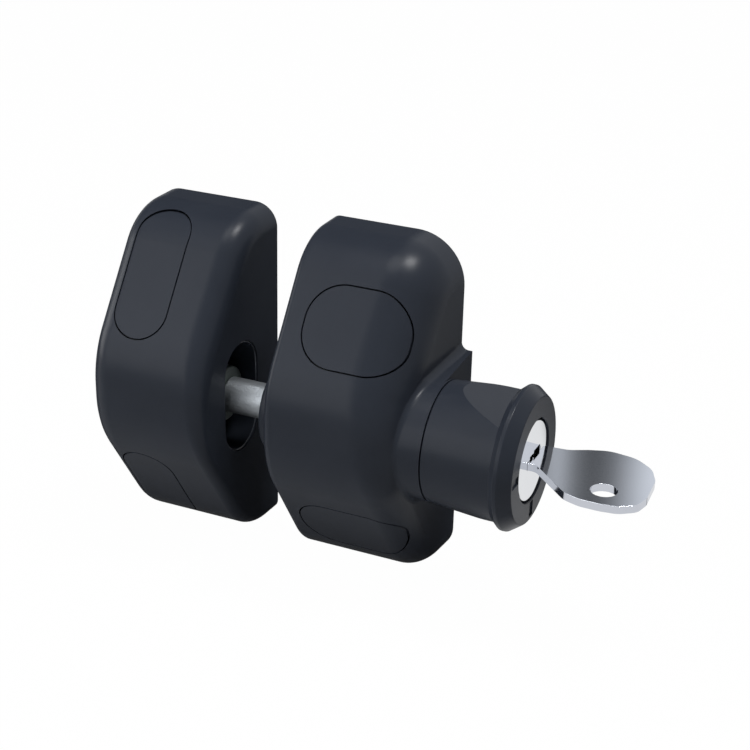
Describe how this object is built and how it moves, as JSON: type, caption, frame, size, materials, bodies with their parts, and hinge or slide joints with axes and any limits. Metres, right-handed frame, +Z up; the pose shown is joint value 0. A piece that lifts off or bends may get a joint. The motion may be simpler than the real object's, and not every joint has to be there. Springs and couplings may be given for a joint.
{
  "type": "magnetic gate latch",
  "caption": "Key-locking magnetic gate latch: a striker with a magnet pocket and a latch body with a sprung bolt pin and a pull knob.",
  "frame": {"origin": "on the mounting plane, straight behind the bolt pin's axis, in the middle of the latch half's width", "axes": "+X along the bolt pin towards the pull knob, +Y out of the back faces into the gate and post, +Z up"},
  "size_m": [0.1476, 0.04, 0.0906],
  "materials": {
    "black_plastic": "satin moulded nylon, fine texture",
    "soft_black": "plain moulded nylon",
    "seal_rubber": "soft wiper rubber",
    "bush_bronze": "oiled sintered bronze",
    "pin_steel": "stainless bar, fine turned grain",
    "spring_steel": "drawn stainless wire",
    "stem_alloy": "die-cast zinc alloy, as cast",
    "holder_grey": "grey-green coated holder",
    "lock_brass": "milled brass",
    "lock_nickel": "polished nickel plate",
    "key_nickel": "stamped and polished nickel plate",
    "screw_steel": "zinc-plated steel",
    "magnet_metal": "nickel-plated magnet"
  },
  "bodies": {
    "latch": {"latch_housing": "black_plastic", "latch_back_plate": "soft_black", "latch_plate_screws": "screw_steel", "nose_bush": "bush_bronze", "collar_bush": "bush_bronze", "collar_seal": "seal_rubber", "knob_spring": "spring_steel"},
    "knob": {"knob_grip": "black_plastic", "knob_stem": "stem_alloy", "catch_ring": "stem_alloy", "stem_screws": "screw_steel", "lock_barrel": "stem_alloy"},
    "bolt": {"bolt_pin": "pin_steel", "pin_spring": "spring_steel"},
    "plug": {"lock_plug": "lock_nickel", "lock_wafers": "lock_brass", "lock_cam": "screw_steel", "cam_screw": "screw_steel"},
    "lock_bolt_body": {"lock_bolt": "screw_steel"},
    "key_body": {"key": "key_nickel"},
    "striker": {"striker_housing": "black_plastic", "striker_back_plate": "soft_black", "striker_plate_screws": "screw_steel", "pocket_liner": "soft_black", "magnet_cup": "holder_grey", "magnet": "magnet_metal", "pole_plate": "screw_steel"},
    "latch_upper_cap_body": {"latch_upper_cap": "black_plastic"},
    "latch_lower_cap_body": {"latch_lower_cap": "black_plastic"},
    "striker_upper_cap_body": {"striker_upper_cap": "black_plastic"},
    "striker_lower_cap_body": {"striker_lower_cap": "black_plastic"}
  },
  "joints": [
    {"name": "knob_pull", "type": "slide", "parent": "latch", "child": "knob", "axis": [1, 0, 0], "range_m": [0, 0.0152], "stiffness_N_per_m": 300, "springref_m": -0.02, "deforming": ["knob_spring"]},
    {"name": "bolt_slide", "type": "slide", "parent": "latch", "child": "bolt", "axis": [1, 0, 0], "range_m": [0, 0.0152]},
    {"name": "plug_turn", "type": "hinge", "parent": "knob", "child": "plug", "pos_m": [0.03, -0.019, 0], "axis": [1, 0, 0], "range_deg": [-90, 0]},
    {"name": "lock_bolt_slide", "type": "slide", "parent": "knob", "child": "lock_bolt_body", "axis": [0, 0, -1], "range_m": [0, 0.0034]},
    {"name": "key_withdraw", "type": "slide", "parent": "plug", "child": "key_body", "axis": [1, 0, 0], "range_m": [0, 0.03]},
    {"name": "striker_apart", "type": "slide", "parent": "latch", "child": "striker", "axis": [-1, 0, 0], "range_m": [0, 0.05]},
    {"name": "latch_upper_cap_off", "type": "slide", "parent": "latch", "child": "latch_upper_cap_body", "axis": [0, -0.8215, 0.5703], "range_m": [0, 0.02]},
    {"name": "latch_lower_cap_off", "type": "slide", "parent": "latch", "child": "latch_lower_cap_body", "axis": [0, -0.8284, -0.5601], "range_m": [0, 0.02]},
    {"name": "striker_upper_cap_off", "type": "slide", "parent": "striker", "child": "striker_upper_cap_body", "axis": [0, -0.8215, 0.5703], "range_m": [0, 0.02]},
    {"name": "striker_lower_cap_off", "type": "slide", "parent": "striker", "child": "striker_lower_cap_body", "axis": [0, -0.8284, -0.5601], "range_m": [0, 0.02]}
  ],
  "couplings": [
    {"joint": "bolt_slide", "follows": "knob_pull", "ratio": 1},
    {"joint": "lock_bolt_slide", "follows": "plug_turn", "m_per_rad": -0.00216}
  ]
}
